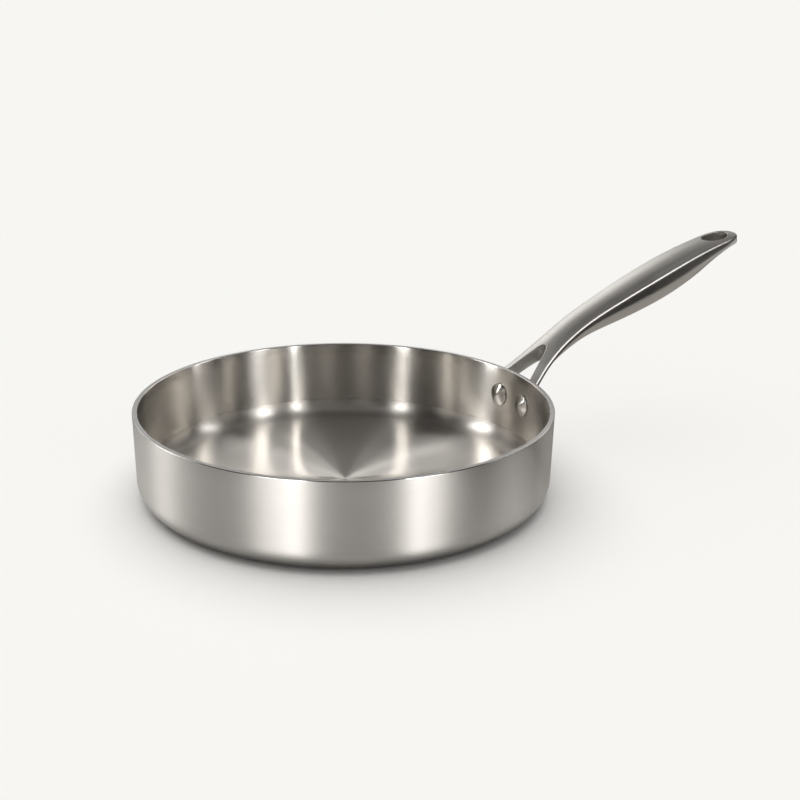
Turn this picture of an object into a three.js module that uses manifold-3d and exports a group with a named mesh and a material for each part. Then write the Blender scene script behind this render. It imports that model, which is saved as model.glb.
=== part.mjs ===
// Saute pan: a clad bowl of three bonded layers, a forked cast handle and the two rivets that hold it.
// Millimetres, +Z up. The origin is the centre of the base's underside, and the handle runs along +X.
import * as THREE from 'three';
import { mergeVertices } from 'three/addons/utils/BufferGeometryUtils.js';
import Module from 'manifold-3d';

const wasm = await Module();
wasm.setup();

// Bowl
const rimDiameter = 260; // outside
const panHeight = 55.5; // rim above the hob
const wallDraft = 0.7; // degrees that the wall leans out
const cornerRadius = 13.5; // outside bend from base to wall
const shellThickness = 0.6;
const coreThickness = 1.9;
const linerThickness = 0.6;
const bondLine = 0.05; // between two bonded layers
const rimChamfer = 0.3; // broken edges of the rim, inside and outside
const bowlSides = 72;
const cornerSteps = 5;

// Rivets
const rivetPitch = 27.5; // between the two centres
const rivetDrop = 19; // centres below the rim
const rivetHeadDiameter = 15;
const rivetHeadHeight = 2.6; // at the middle of the dome
const rivetHeadEdge = 0.8; // straight edge of the head
const rivetShankDiameter = 6.4;
const rivetTailDiameter = 9.5;
const rivetTailHeight = 1.6;
const rivetClearance = 0.15; // around the shank, and under head and tail
const rivetSides = 24;
const domeSteps = 4;

// Handle, seen from the side: the line of its two shoulders
const handleLength = 185.5; // from the wall to the tip, level
const handleRise = 81.4; // shoulder line at the tip above the rim
const rootDrop = 5; // shoulder line below the rim where it meets the wall
const bendLength = 59; // from the wall to the straight of the grip, level
const bendRise = 42; // climb over that length
const rootAngle = 45; // degrees above level
const gripAngle = 23.6;
const tipAngle = 8.4;

// Handle, seen from above
const forkWidth = 44; // across the prongs at the wall
const prongWidth = 8.3; // each prong at the wall
const waistWidth = 25.5;
const waistDistance = 36; // from the wall
const gripWidth = 31.2;
const gripDistance = 116; // widest and deepest part of the grip, from the wall
const endWidth = 27.7; // across the rounded end

// Handle, in section
const forkThickness = 6.6; // shoulder to keel
const gripThickness = 23;
const endThickness = 6.5;
const swellDistance = 8; // from the wall to where the depth begins to grow
const forkFlank = 2.8; // shoulder to crease
const gripFlank = 9.6;
const endFlank = 3.2;
const crownHeight = 2; // middle of the top above the shoulders, at the grip
const shoulderRadius = 2;
const creaseInset = 0.6; // crease inside the shoulder's width
const forkKeelPower = 5; // 1 is a sharp keel, 2 a round one, more a flat one
const gripKeelPower = 2;

// Handle's openings and foot
const windowLength = 22.3; // from the wall to the apex of the fork's window
const windowApexRadius = 4.8;
const hangHoleLength = 19;
const hangHoleWidth = 16.4;
const hangHoleSetback = 2.7; // hole's centre behind the centre of the rounded end
const saddleMargin = 3; // beyond the prongs on each side
const saddleEdge = 10.5; // below the rivets' centres
const saddleThickness = 4;
const saddleCornerRadius = 8;
const handleGap = 0.3; // between the saddle and the wall

// Bowl's outline, worked out from the sizes above
const draft = THREE.MathUtils.degToRad(wallDraft);
const rimRadius = rimDiameter / 2;
const rimReach = cornerRadius + (panHeight - cornerRadius) * Math.sin(draft);
const cornerCentre = rimRadius - rimReach / Math.cos(draft);
const coreOutside = shellThickness + bondLine;
const coreInside = coreOutside + coreThickness;
const linerOutside = coreInside + bondLine;
const wallThickness = linerOutside + linerThickness;

// Radius of the wall at a height, on the surface that lies a given depth inside the outer face.
function wallRadius(height, depth) {
  const reach = cornerRadius - depth + (height - cornerRadius) * Math.sin(draft);
  return cornerCentre + reach / Math.cos(draft);
}

// Points of that surface from the axis, round the corner and up the wall to a height.
function bowlSurface(depth, top) {
  const radius = cornerRadius - depth;
  const points = [new THREE.Vector2(0, depth)];
  for (let step = 0; step <= cornerSteps; step += 1) {
    const angle = (step / cornerSteps) * (Math.PI / 2 - draft) - Math.PI / 2;
    const across = cornerCentre + radius * Math.cos(angle);
    points.push(new THREE.Vector2(across, cornerRadius + radius * Math.sin(angle)));
  }
  points.push(new THREE.Vector2(wallRadius(top, depth), top));
  return points;
}

// Solids for cutting and joining
const mergeTolerance = 1e-4; // points closer than this are one point

function toSolid(geometry) {
  const bare = geometry.clone();
  bare.deleteAttribute('normal');
  bare.deleteAttribute('uv');
  const merged = mergeVertices(bare, mergeTolerance);
  const vertProperties = new Float32Array(merged.attributes.position.array);
  const triVerts = new Uint32Array(merged.index.array);
  return new wasm.Manifold(new wasm.Mesh({ numProp: 3, vertProperties, triVerts }));
}

function toGeometry(solid) {
  const mesh = solid.getMesh();
  const positions = new Float32Array(mesh.vertProperties);
  const triangles = new Uint32Array(mesh.triVerts);
  const geometry = new THREE.BufferGeometry();
  geometry.setAttribute('position', new THREE.BufferAttribute(positions, 3));
  geometry.setIndex(new THREE.BufferAttribute(triangles, 1));
  geometry.computeVertexNormals();
  return geometry;
}

function turned(points, sides) {
  return new THREE.LatheGeometry(points, sides).rotateX(Math.PI / 2);
}

// The space inside the surface at a given depth, filled to the axis and up to a height.
function bowlBlock(depth, top) {
  return toSolid(turned([...bowlSurface(depth, top), new THREE.Vector2(0, top)], bowlSides));
}

// A prism of an outline in the XY plane, standing from one height to another.
const outlineSteps = 12; // along each curve of an outline

function prism(outline, low, high) {
  const options = { depth: high - low, bevelEnabled: false, curveSegments: outlineSteps };
  return new THREE.ExtrudeGeometry(outline, options).translate(0, 0, low);
}

// Rivets: the places of the two, square to the wall, with X running outwards from its inner face
const rivetHeight = panHeight - rivetDrop;
const rivetAngle = Math.asin(rivetPitch / 2 / wallRadius(rivetHeight, 0));
const headRadius = rivetHeadDiameter / 2;
const linerRadius = wallRadius(rivetHeight, wallThickness);
const headSeat = Math.sqrt(linerRadius ** 2 - headRadius ** 2) - linerRadius - rivetClearance;
const tailSeat = wallThickness + handleGap + saddleThickness + rivetClearance;

function rivetPlace(side) {
  const place = new THREE.Matrix4().makeRotationZ(side * rivetAngle);
  place.multiply(new THREE.Matrix4().makeTranslation(linerRadius, 0, rivetHeight));
  return place.multiply(new THREE.Matrix4().makeRotationY(draft));
}

// A shape turned about the Y axis of its outline, laid along X and put at a rivet's place.
function atRivet(points, side) {
  const geometry = new THREE.LatheGeometry(points, rivetSides).rotateZ(-Math.PI / 2);
  return geometry.applyMatrix4(rivetPlace(side));
}

function rivetOutline() {
  const points = [];
  for (let step = 0; step <= domeSteps; step += 1) {
    const angle = (step / domeSteps) * (Math.PI / 2);
    const rise = (rivetHeadHeight - rivetHeadEdge) * Math.cos(angle);
    points.push(new THREE.Vector2(headRadius * Math.sin(angle), headSeat - rivetHeadEdge - rise));
  }
  points.push(new THREE.Vector2(headRadius, headSeat));
  points.push(new THREE.Vector2(rivetShankDiameter / 2, headSeat));
  points.push(new THREE.Vector2(rivetShankDiameter / 2, tailSeat));
  for (let step = domeSteps; step >= 0; step -= 1) {
    const angle = (step / domeSteps) * (Math.PI / 2);
    const out = tailSeat + rivetTailHeight * Math.cos(angle);
    points.push(new THREE.Vector2((rivetTailDiameter / 2) * Math.sin(angle), out));
  }
  return points;
}

// The hole for a rivet's shank, from inside the bowl to outside the saddle.
function rivetHole(side) {
  const radius = rivetShankDiameter / 2 + rivetClearance;
  const start = headSeat - rivetHeadHeight;
  const end = tailSeat + rivetTailHeight;
  const outline = [
    new THREE.Vector2(0, start),
    new THREE.Vector2(radius, start),
    new THREE.Vector2(radius, end),
    new THREE.Vector2(0, end),
  ];
  return toSolid(atRivet(outline, side));
}

const rivetSide = { left: 1, right: -1 };
const rivetHoles = Object.values(rivetSide).map(rivetHole);

function drilled(solid) {
  return rivetHoles.reduce((rest, hole) => rest.subtract(hole), solid);
}

// One layer of the bowl, between two depths, with the rim's free edges broken.
function bowlLayer(outside, inside, outsideChamfer, insideChamfer) {
  const points = bowlSurface(outside, panHeight - outsideChamfer);
  if (outsideChamfer > 0) {
    points.push(new THREE.Vector2(wallRadius(panHeight, outside) - outsideChamfer, panHeight));
  }
  if (insideChamfer > 0) {
    points.push(new THREE.Vector2(wallRadius(panHeight, inside) + insideChamfer, panHeight));
  }
  points.push(...bowlSurface(inside, panHeight - insideChamfer).reverse());
  return toGeometry(drilled(toSolid(turned(points, bowlSides))));
}

// Handle's shoulder line in its middle plane: a bend at the root, then the grip
const curveReach = 0.3; // pull of each end of a curve, as a share of its chord

function curveBetween(start, startAngle, end, endAngle) {
  const reach = start.distanceTo(end) * curveReach;
  const pull = (angle) => {
    const radians = THREE.MathUtils.degToRad(angle);
    return new THREE.Vector2(Math.cos(radians), Math.sin(radians)).multiplyScalar(reach);
  };
  const leaving = start.clone().add(pull(startAngle));
  const arriving = end.clone().sub(pull(endAngle));
  return new THREE.CubicBezierCurve(start, leaving, arriving, end);
}

const rootPoint = new THREE.Vector2(0, panHeight - rootDrop);
const bendPoint = rootPoint.clone().add(new THREE.Vector2(bendLength, bendRise));
const tipPoint = new THREE.Vector2(handleLength, panHeight + handleRise);
const bendCurve = curveBetween(rootPoint, rootAngle, bendPoint, gripAngle);
const gripCurve = curveBetween(bendPoint, gripAngle, tipPoint, tipAngle);

// Point and direction of the shoulder line at a level distance from the wall, found by halving.
const halvings = 40;

function shoulderAt(distance) {
  if (distance <= 0) {
    const radians = THREE.MathUtils.degToRad(rootAngle);
    const point = new THREE.Vector2(distance, rootPoint.y + distance * Math.tan(radians));
    return { point, angle: radians };
  }
  const curve = distance < bendLength ? bendCurve : gripCurve;
  let low = 0;
  let high = 1;
  for (let halving = 0; halving < halvings; halving += 1) {
    const middle = (low + high) / 2;
    if (curve.getPoint(middle).x < distance) {
      low = middle;
    } else {
      high = middle;
    }
  }
  return { point: curve.getPoint(low), angle: curve.getTangent(low).angle() };
}

// Sizes along the handle
const endRadius = endWidth / 2;
const endCentre = handleLength - endRadius;
const { lerp, smoothstep, clamp } = THREE.MathUtils;

function halfWidthAt(distance) {
  if (distance > endCentre) {
    return Math.sqrt(endRadius ** 2 - (distance - endCentre) ** 2);
  }
  if (distance > gripDistance) {
    return lerp(gripWidth, endWidth, smoothstep(distance, gripDistance, endCentre)) / 2;
  }
  if (distance > waistDistance) {
    return lerp(waistWidth, gripWidth, smoothstep(distance, waistDistance, gripDistance)) / 2;
  }
  const flare = (1 - distance / waistDistance) ** 2;
  return lerp(waistWidth, forkWidth, flare) / 2;
}

// A depth that swells from the fork to the grip and falls away to the tip.
function depthAt(distance, fork, grip, end) {
  if (distance < gripDistance) {
    return lerp(fork, grip, smoothstep(distance, swellDistance, gripDistance));
  }
  const past = clamp((distance - gripDistance) / (handleLength - gripDistance), 0, 1);
  return lerp(end, grip, Math.cos((Math.PI / 2) * past));
}

// Half of a section, from the middle of the crown down to the keel: across and above the shoulder line.
const crownSteps = 4;
const shoulderSteps = 3;
const keelSteps = 5;

function halfSection(distance) {
  const width = halfWidthAt(distance);
  const narrowing = Math.min(1, width / endRadius); // edges get finer round the end
  const round = shoulderRadius * narrowing;
  const crown = (crownHeight * width) / (gripWidth / 2);
  const flank = depthAt(distance, forkFlank, gripFlank, endFlank);
  const keel = depthAt(distance, forkThickness, gripThickness, endThickness) - flank;
  const keelPower = depthAt(distance, forkKeelPower, gripKeelPower, gripKeelPower);
  const crease = width - creaseInset * narrowing;
  const points = [];
  for (let step = 0; step <= crownSteps; step += 1) {
    const portion = step / crownSteps;
    points.push(new THREE.Vector2((width - round) * portion, crown * (1 - portion * portion)));
  }
  for (let step = 1; step <= shoulderSteps; step += 1) {
    const angle = (step / shoulderSteps) * (Math.PI / 2);
    points.push(new THREE.Vector2(width - round * (1 - Math.sin(angle)), round * (Math.cos(angle) - 1)));
  }
  for (let step = 0; step <= keelSteps; step += 1) {
    const portion = 1 - step / keelSteps;
    points.push(new THREE.Vector2(crease * portion, -flank - keel * (1 - portion ** keelPower)));
  }
  return points;
}

// A whole section, square to the shoulder line and in its place on the pan.
const wallAtHandle = wallRadius(panHeight - rootDrop, 0);

function handleSection(distance) {
  const half = halfSection(distance);
  const mirrored = half.slice(1, -1).reverse().map((point) => new THREE.Vector2(-point.x, point.y));
  const { point, angle } = shoulderAt(distance);
  return [...half, ...mirrored].map((spot) => new THREE.Vector3(
    wallAtHandle + point.x - spot.y * Math.sin(angle),
    spot.x,
    point.y + spot.y * Math.cos(angle),
  ));
}

function middleOf(ring) {
  const sum = new THREE.Vector3();
  ring.forEach((spot) => sum.add(spot));
  return sum.divideScalar(ring.length);
}

// A closed skin over rings of points, with a fan over each end.
function loft(rings) {
  const count = rings[0].length;
  const spots = [...rings.flat(), middleOf(rings[0]), middleOf(rings[rings.length - 1])];
  const index = [];
  const lastRing = (rings.length - 1) * count;
  const firstCentre = rings.length * count;
  for (let side = 0; side < count; side += 1) {
    const next = (side + 1) % count;
    for (let start = 0; start < lastRing; start += count) {
      index.push(start + side, start + count + next, start + next);
      index.push(start + side, start + count + side, start + count + next);
    }
    index.push(firstCentre, side, next);
    index.push(firstCentre + 1, lastRing + next, lastRing + side);
  }
  const geometry = new THREE.BufferGeometry().setFromPoints(spots);
  geometry.setIndex(index);
  return geometry;
}

// Distances of the sections: even along the bend and the grip, closing up round the end.
const rootReach = 16; // handle continued past the wall, before it is cut to the wall
const bendSteps = 10;
const gripSteps = 18;
const endSteps = 8;
const endSweep = THREE.MathUtils.degToRad(85);

function sectionDistances() {
  const distances = [-rootReach];
  for (let step = 0; step < bendSteps; step += 1) {
    distances.push((bendLength * step) / bendSteps);
  }
  for (let step = 0; step < gripSteps; step += 1) {
    distances.push(lerp(bendLength, endCentre, step / gripSteps));
  }
  for (let step = 0; step <= endSteps; step += 1) {
    distances.push(endCentre + endRadius * Math.sin((endSweep * step) / endSteps));
  }
  return distances;
}

// The window between the prongs: straight sides that close on a rounded apex.
function windowOutline() {
  const start = wallAtHandle - rootReach;
  const half = forkWidth / 2 - prongWidth;
  const centre = wallAtHandle + windowLength - windowApexRadius;
  const span = centre - wallAtHandle;
  const slope = Math.asin(windowApexRadius / Math.hypot(span, half)) - Math.atan2(half, span);
  const startHalf = half - Math.tan(slope) * rootReach;
  const outline = new THREE.Shape();
  outline.absarc(centre, 0, windowApexRadius, -slope - Math.PI / 2, slope + Math.PI / 2, false);
  outline.lineTo(start, startHalf);
  outline.lineTo(start, -startHalf);
  return outline;
}

function hangHoleOutline() {
  const centre = wallAtHandle + endCentre - hangHoleSetback;
  const outline = new THREE.Shape();
  outline.absellipse(centre, 0, hangHoleLength / 2, hangHoleWidth / 2, 0, 2 * Math.PI);
  return outline;
}

// The saddle: a plate with rounded corners, curved to the wall.
function saddleSolid() {
  const right = forkWidth / 2 + saddleMargin - saddleCornerRadius;
  const low = rivetHeight - saddleEdge + saddleCornerRadius;
  const high = rootPoint.y - saddleCornerRadius;
  const quarter = Math.PI / 2;
  const outline = new THREE.Shape();
  outline.absarc(right, high, saddleCornerRadius, 0, quarter, false);
  outline.absarc(-right, high, saddleCornerRadius, quarter, 2 * quarter, false);
  outline.absarc(-right, low, saddleCornerRadius, 2 * quarter, 3 * quarter, false);
  outline.absarc(right, low, saddleCornerRadius, 3 * quarter, 4 * quarter, false);
  const slab = prism(outline, rimRadius - rootReach, rimRadius + rootReach);
  const standing = new THREE.Matrix4().makeBasis(
    new THREE.Vector3(0, 1, 0),
    new THREE.Vector3(0, 0, 1),
    new THREE.Vector3(1, 0, 0),
  );
  slab.applyMatrix4(standing);
  return toSolid(slab).intersect(bowlBlock(-handleGap - saddleThickness, panHeight));
}

function handleGeometry() {
  const top = panHeight + handleRise + crownHeight;
  const grip = toSolid(loft(sectionDistances().map(handleSection)));
  const forked = grip.subtract(toSolid(prism(windowOutline(), 0, top)));
  const pierced = forked.subtract(toSolid(prism(hangHoleOutline(), 0, 2 * top)));
  const footed = pierced.add(saddleSolid());
  return toGeometry(drilled(footed.subtract(bowlBlock(-handleGap, top))));
}

// Finishes
function metal(color, roughness) {
  return new THREE.MeshStandardMaterial({ color, roughness, metalness: 1 });
}

const brushedSteel = () => metal(0xc6c3be, 0.32);
const polishedSteel = () => metal(0xc9c5bf, 0.22);
const castSteel = () => metal(0xbdbab5, 0.3);
const bareAluminium = () => metal(0xd3d3d1, 0.45);

function piece(name, geometry, material) {
  const mesh = new THREE.Mesh(geometry, material);
  mesh.name = name;
  return mesh;
}

const pan = new THREE.Group();
pan.add(piece('outer_shell', bowlLayer(0, shellThickness, rimChamfer, 0), brushedSteel()));
pan.add(piece('heat_core', bowlLayer(coreOutside, coreInside, 0, 0), bareAluminium()));
pan.add(piece('cooking_liner', bowlLayer(linerOutside, wallThickness, 0, rimChamfer), polishedSteel()));
pan.add(piece('handle', handleGeometry(), castSteel()));
for (const [name, side] of Object.entries(rivetSide)) {
  pan.add(piece(`rivet_${name}`, atRivet(rivetOutline(), side), polishedSteel()));
}

export default pan;
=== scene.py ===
"""Saute pan: a clad steel bowl, a forked cast handle and two rivets, dressed for a studio picture.

Metres, +Z up. The origin is the centre of the base's underside, and the handle runs along +X.
"""

import logging
import math
from abc import ABC, abstractmethod
from collections.abc import Sequence
from dataclasses import dataclass
from enum import Enum, IntEnum

import bmesh
import bpy
from mathutils import Matrix, Vector


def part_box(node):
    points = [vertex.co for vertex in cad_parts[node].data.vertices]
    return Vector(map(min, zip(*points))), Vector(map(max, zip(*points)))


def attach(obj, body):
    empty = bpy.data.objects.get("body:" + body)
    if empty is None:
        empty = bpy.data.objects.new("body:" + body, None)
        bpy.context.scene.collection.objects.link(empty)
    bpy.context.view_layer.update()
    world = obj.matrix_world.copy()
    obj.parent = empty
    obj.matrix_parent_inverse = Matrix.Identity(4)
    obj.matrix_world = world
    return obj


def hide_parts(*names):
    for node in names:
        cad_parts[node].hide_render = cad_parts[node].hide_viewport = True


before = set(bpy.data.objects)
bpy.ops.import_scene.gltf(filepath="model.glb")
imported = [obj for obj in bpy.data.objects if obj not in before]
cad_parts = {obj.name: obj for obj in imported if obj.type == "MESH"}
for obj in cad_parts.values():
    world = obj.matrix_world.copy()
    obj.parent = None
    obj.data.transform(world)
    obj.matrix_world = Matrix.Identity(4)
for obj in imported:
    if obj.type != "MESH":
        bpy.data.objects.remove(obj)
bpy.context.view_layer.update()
log = logging.getLogger("saute_pan")

MM = 0.001
MERGE = 1e-6  # points closer than this are one point
MATCH = 1e-5  # a vertex this close to a place lies at that place
SMOOTH_ANGLE = math.radians(35)  # edges that turn less are shaded smooth
SHARP_ANGLE = math.radians(60)  # edges of the saddle that turn more are rounded
EDGE_STEPS = 4  # chords of a small rounded edge
SETTLE_ROUNDS = 12  # corrections that bring a smoothed line onto its points
HALVINGS = 40  # of a search along a curve
SLOPE_STEP = 1e-4  # share of a curve over which its slope is taken
LINE_DEPTH = 0.05 * MM  # of a brushed line, at full strength
QUARTER_TURN = 0.25  # turns highlights from along the rings to across them
DARK_TONE = 0.03  # of the dark cloth, where 1 is white
CLOTH_TINT = (1.0, 0.96, 0.91)  # a warm grey


# Shaping tools


def lerp(start: float, end: float, share: float) -> float:
    """Value a share of the way from start to end."""
    return start + (end - start) * share


def smoothstep(value: float, low: float, high: float) -> float:
    """Share of the way from low to high, eased at both ends."""
    share = min(max((value - low) / (high - low), 0.0), 1.0)
    return share * share * (3 - 2 * share)


def arc(centre: Vector, radius: float, start: float, end: float, steps: int) -> list[Vector]:
    """Points along an arc in an XZ plane.

    Args:
        centre: the arc's centre.
        radius: its radius.
        start: angle of the first point, in radians from +X towards +Z.
        end: angle of the last point.
        steps: how many chords it has.

    Returns:
        The points, both ends among them.
    """
    angles = [lerp(start, end, step / steps) for step in range(steps + 1)]
    return [centre + radius * Vector((math.cos(angle), 0, math.sin(angle))) for angle in angles]


def bezier(corners: Sequence[Vector], share: float) -> Vector:
    """Point of a Bezier curve.

    Args:
        corners: its four corners.
        share: from 0 at its start to 1 at its end.

    Returns:
        The point.
    """
    rest = 1 - share
    weights = (rest**3, 3 * rest**2 * share, 3 * rest * share**2, share**3)
    return sum((weight * corner for weight, corner in zip(weights, corners)), Vector((0, 0, 0)))


def mirrored_ring(half: Sequence[Vector]) -> list[Vector]:
    """Closes a half ring with its mirror image.

    Args:
        half: points of the left half, with both ends on the middle plane.

    Returns:
        Points of the whole ring.
    """
    return [*half, *(Vector((spot.x, -spot.y, spot.z)) for spot in half[-2:0:-1])]


def through(points: Sequence[Vector], closed: bool) -> list[Vector]:
    """Corners of a cage line whose smoothed curve passes through the given points.

    Args:
        points: places that the curve passes through.
        closed: whether the line is a ring. The ends of an open line stay where they are.

    Returns:
        One corner for each point.
    """
    corners = [point.copy() for point in points]
    count = len(corners)
    movable = range(count) if closed else range(1, count - 1)
    for _ in range(SETTLE_ROUNDS):
        smoothed = {
            index: (corners[index - 1] + 4 * corners[index] + corners[(index + 1) % count]) / 6
            for index in movable
        }
        for index, place in smoothed.items():
            corners[index] = corners[index] + points[index] - place
    return corners


def start_point(name: str, place: Vector) -> bpy.types.Object:
    """Adds a piece that is one selected point, and leaves it in edit mode.

    Args:
        name: the piece's name.
        place: where the point lies.

    Returns:
        The new object, with its place in its mesh.
    """
    bpy.ops.object.select_all(action="DESELECT")
    bpy.ops.mesh.primitive_plane_add(size=MM, location=place)
    piece = name_piece(name)
    bpy.ops.object.mode_set(mode="EDIT")
    bpy.ops.mesh.select_mode(type="VERT")
    bpy.ops.mesh.merge(type="CENTER")
    return piece


def name_piece(name: str) -> bpy.types.Object:
    """Names the primitive just added and puts its place into its mesh.

    Args:
        name: the piece's name.

    Returns:
        The primitive's object.
    """
    piece = bpy.context.object
    piece.name = name
    piece.data.name = name
    bpy.ops.object.transform_apply(location=True, rotation=True, scale=True)
    return piece


def trace(points: Sequence[Vector]) -> None:
    """Extrudes the selected point, or line, from the first place along the others.

    Args:
        points: the places, the one that is already there first.
    """
    for start, end in zip(points, points[1:]):
        bpy.ops.mesh.extrude_region_move(TRANSFORM_OT_translate={"value": end - start})


def turn(name: str, outline: Sequence[Vector], centre: Vector, axis: Vector, steps: int) -> bpy.types.Object:
    """Makes a turned piece by spinning an outline that starts and ends on the axis.

    Args:
        name: the piece's name.
        outline: points of the outline.
        centre: a point on the axis.
        axis: the axis's direction.
        steps: how many sides the piece has.

    Returns:
        The finished object.
    """
    piece = start_point(name, outline[0])
    trace(outline)
    bpy.ops.mesh.select_all(action="SELECT")
    bpy.ops.mesh.spin(steps=steps, angle=2 * math.pi, center=centre, axis=axis)
    close_skin()
    return piece


def close_skin() -> None:
    """Merges doubles, points the faces outwards, leaves edit mode and smooths the shading."""
    bpy.ops.mesh.select_all(action="SELECT")
    bpy.ops.mesh.remove_doubles(threshold=MERGE)
    bpy.ops.mesh.normals_make_consistent(inside=False)
    bpy.ops.object.mode_set(mode="OBJECT")
    bpy.ops.object.shade_smooth_by_angle(angle=SMOOTH_ANGLE)


def pick_points(places: Sequence[Vector]) -> None:
    """Selects the vertices that lie at the given places, and nothing else.

    Args:
        places: where the vertices lie.
    """
    bpy.ops.mesh.select_mode(type="VERT")
    bpy.ops.mesh.select_all(action="DESELECT")
    sheet = bmesh.from_edit_mesh(bpy.context.object.data)
    for vertex in sheet.verts:
        if any((vertex.co - place).length < MATCH for place in places):
            vertex.select = True
    sheet.select_flush_mode()
    bmesh.update_edit_mesh(bpy.context.object.data)


def pick_chains(chains: Sequence[Sequence[Vector]]) -> None:
    """Selects the edges that join neighbouring places of the given chains, and nothing else.

    Args:
        chains: lists of places. A chain that ends where it starts is a ring.
    """
    bpy.ops.mesh.select_mode(type="EDGE")
    bpy.ops.mesh.select_all(action="DESELECT")
    sheet = bmesh.from_edit_mesh(bpy.context.object.data)
    links = [(start, end) for chain in chains for start, end in zip(chain, chain[1:])]
    for edge in sheet.edges:
        first, last = (vertex.co for vertex in edge.verts)
        for start, end in links:
            along = (first - start).length < MATCH and (last - end).length < MATCH
            against = (first - end).length < MATCH and (last - start).length < MATCH
            if along or against:
                edge.select = True
    sheet.select_flush_mode()
    bmesh.update_edit_mesh(bpy.context.object.data)


def extrude_to(before: Sequence[Vector], after: Sequence[Vector]) -> None:
    """Extrudes the selected line and moves its points to new places.

    Args:
        before: places of the selected points.
        after: the new place of each.
    """
    bpy.ops.mesh.extrude_region_move()
    sheet = bmesh.from_edit_mesh(bpy.context.object.data)
    for vertex in sheet.verts:
        if vertex.select:
            nearest = min(range(len(before)), key=lambda index: (before[index] - vertex.co).length)
            vertex.co = after[nearest]
    bmesh.update_edit_mesh(bpy.context.object.data)


# Shader tools


class Sheet:
    """A node tree that is being wired."""

    def __init__(self, tree: bpy.types.NodeTree) -> None:
        """Empties the tree."""
        self.tree = tree
        tree.nodes.clear()

    def add(self, kind: str, inputs: dict | None = None, **settings: object) -> bpy.types.Node:
        """Adds a node.

        Args:
            kind: the node's type, without its ShaderNode prefix.
            inputs: values or sockets for the node's inputs, by name or number.
            settings: values for the node's own settings.

        Returns:
            The new node.
        """
        node = self.tree.nodes.new(kind if kind.startswith("Node") else f"ShaderNode{kind}")
        for name, value in settings.items():
            setattr(node, name, value)
        for socket, value in (inputs or {}).items():
            if isinstance(value, bpy.types.NodeSocket):
                self.tree.links.new(value, node.inputs[socket])
            else:
                node.inputs[socket].default_value = value
        return node

    def math(self, operation: str, *values: object) -> bpy.types.NodeSocket:
        """Adds a Math node.

        Args:
            operation: its operation.
            values: values or sockets for its inputs.

        Returns:
            Its output.
        """
        return self.add("Math", dict(enumerate(values)), operation=operation).outputs[0]

    def spread(self, value: bpy.types.NodeSocket, low: float, high: float) -> bpy.types.NodeSocket:
        """Spreads a mask from 0 and 1 to two other values.

        Args:
            value: the mask.
            low: what 0 becomes.
            high: what 1 becomes.

        Returns:
            The spread value.
        """
        return self.add("MapRange", {"Value": value, "To Min": low, "To Max": high}).outputs[0]

    def step(self, value: bpy.types.NodeSocket, low: float, high: float) -> bpy.types.NodeSocket:
        """Makes an eased mask from a value.

        Args:
            value: the value.
            low: where the mask is still 0.
            high: where the mask has become 1.

        Returns:
            The mask.
        """
        limits = {"Value": value, "From Min": low, "From Max": high}
        return self.add("MapRange", limits, interpolation_type="SMOOTHSTEP").outputs[0]

    def line_noise(self, place: bpy.types.NodeSocket) -> bpy.types.NodeSocket:
        """Noise from 0 to 1 with the fine steps of brushed lines."""
        noise = {"Vector": place, "Scale": 1.0, "Detail": 3.0, "Roughness": 0.6}
        return self.add("TexNoise", noise).outputs[0]

    def group(self, name: str, inputs: dict) -> bpy.types.NodeSocket:
        """Places a shader node group.

        Args:
            name: the group's name.
            inputs: values or sockets for its inputs.

        Returns:
            Its output.
        """
        return self.add("Group", inputs, node_tree=bpy.data.node_groups[name]).outputs[0]


def new_material(name: str) -> tuple[bpy.types.Material, Sheet]:
    """Starts a material.

    Args:
        name: the material's name.

    Returns:
        The material and its empty sheet.
    """
    material = bpy.data.materials.new(name)
    material.use_nodes = True
    return material, Sheet(material.node_tree)


def new_group(name: str, inputs: dict[str, str], output: str) -> tuple[Sheet, bpy.types.Node]:
    """Starts a shader node group that puts out one value.

    Args:
        name: the group's name.
        inputs: socket type of each input, by name.
        output: name of the output.

    Returns:
        The group's sheet and its input node.
    """
    tree = bpy.data.node_groups.new(name, "ShaderNodeTree")
    for socket, kind in inputs.items():
        tree.interface.new_socket(socket, in_out="INPUT", socket_type=kind)
    tree.interface.new_socket(output, in_out="OUTPUT", socket_type="NodeSocketFloat")
    sheet = Sheet(tree)
    return sheet, sheet.add("NodeGroupInput")


def turned_lines_group() -> bpy.types.NodeTree:
    """Group for the fine rings that turning or spinning leaves round a piece's Z axis.

    Returns:
        The group, whose Lines output runs from 0 to 1.
    """
    sockets = {"Coordinates": "NodeSocketVector", "Spacing": "NodeSocketFloat"}
    sheet, given = new_group("turned_lines", sockets, "Lines")
    split = sheet.add("SeparateXYZ", {0: given.outputs["Coordinates"]})
    flat = sheet.add("CombineXYZ", {0: split.outputs[0], 1: split.outputs[1]}).outputs[0]
    reach = sheet.add("VectorMath", {0: flat}, operation="LENGTH").outputs["Value"]
    bearing = sheet.add("VectorMath", {0: flat}, operation="NORMALIZE").outputs[0]
    bearing = sheet.add("SeparateXYZ", {0: bearing})
    run = sheet.math("DIVIDE", sheet.math("ADD", reach, split.outputs[2]), given.outputs["Spacing"])
    along = {0: run, 1: bearing.outputs[0], 2: bearing.outputs[1]}
    lines = sheet.line_noise(sheet.add("CombineXYZ", along).outputs[0])
    sheet.add("NodeGroupOutput", {"Lines": lines})
    return sheet.tree


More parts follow.
